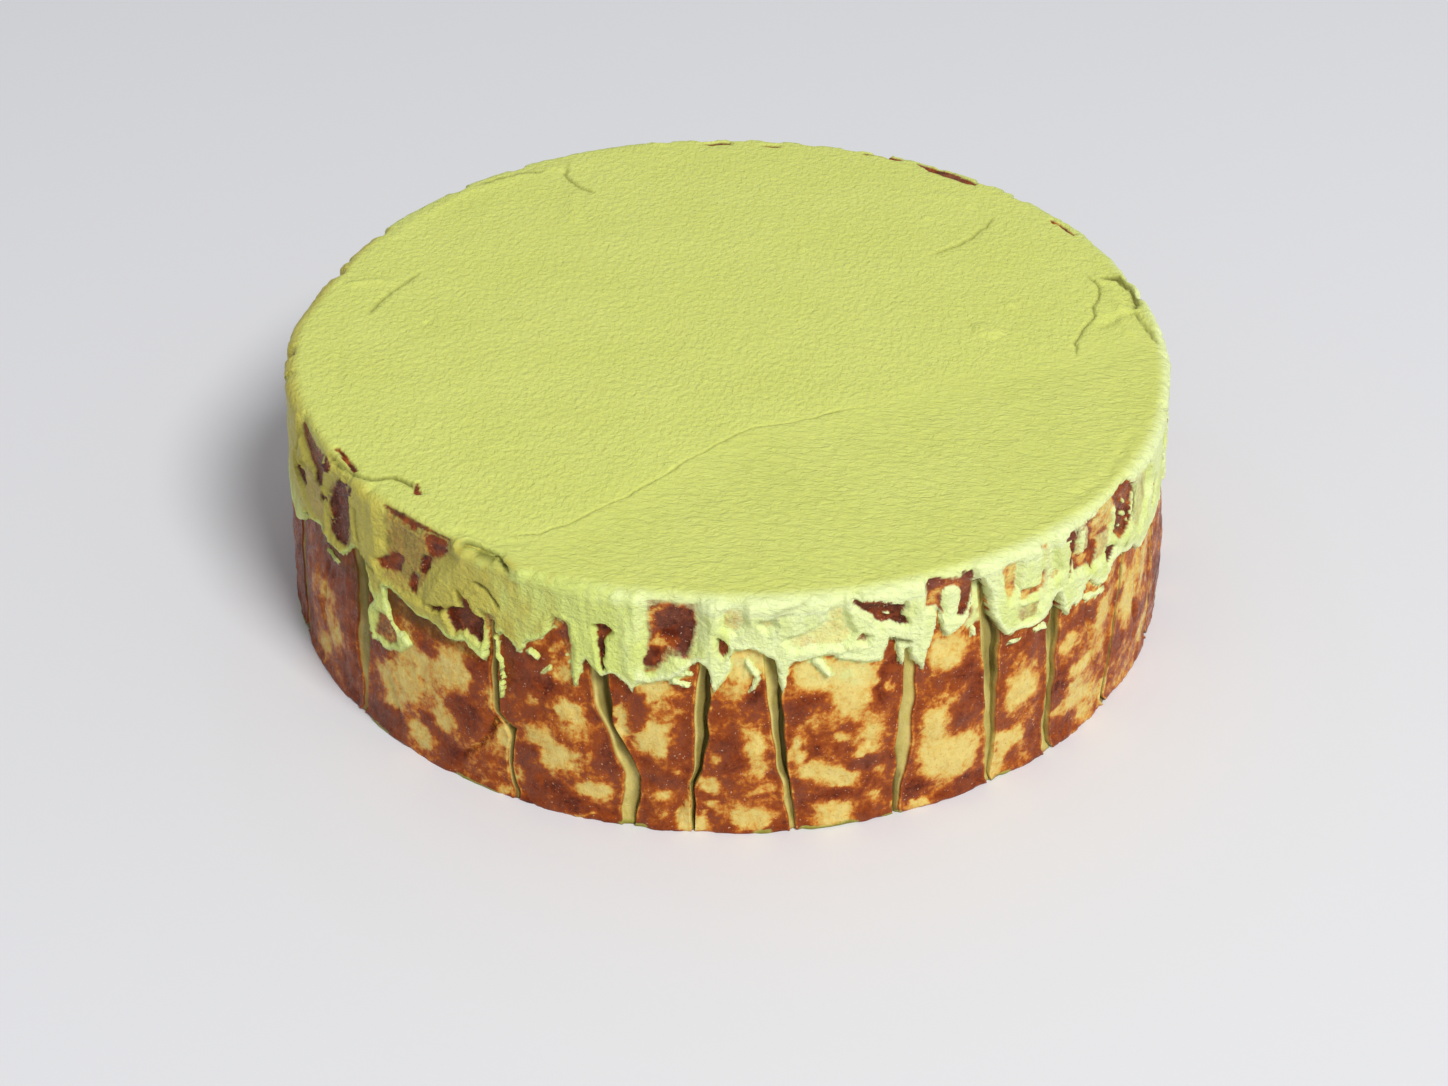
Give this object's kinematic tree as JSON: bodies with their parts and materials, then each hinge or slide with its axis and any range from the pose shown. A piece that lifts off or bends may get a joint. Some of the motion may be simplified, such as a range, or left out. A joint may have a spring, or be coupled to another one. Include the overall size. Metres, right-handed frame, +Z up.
{
  "type": "basque cheesecake",
  "caption": "Round crustless cheesecake with a browned side pleated by baking paper, under a layer of pistachio cream that runs down its edge.",
  "frame": {"origin": "middle of the base, on the surface that the cake stands on", "axes": "+Z up; -Y is the side that the picture shows best, and +X is its right"},
  "size_m": [0.158, 0.1576, 0.0455],
  "materials": {
    "baked_crust": null,
    "cream": null
  },
  "bodies": {
    "root": {"cheesecake": "baked_crust", "pistachio_cream": "cream"}
  },
  "joints": []
}
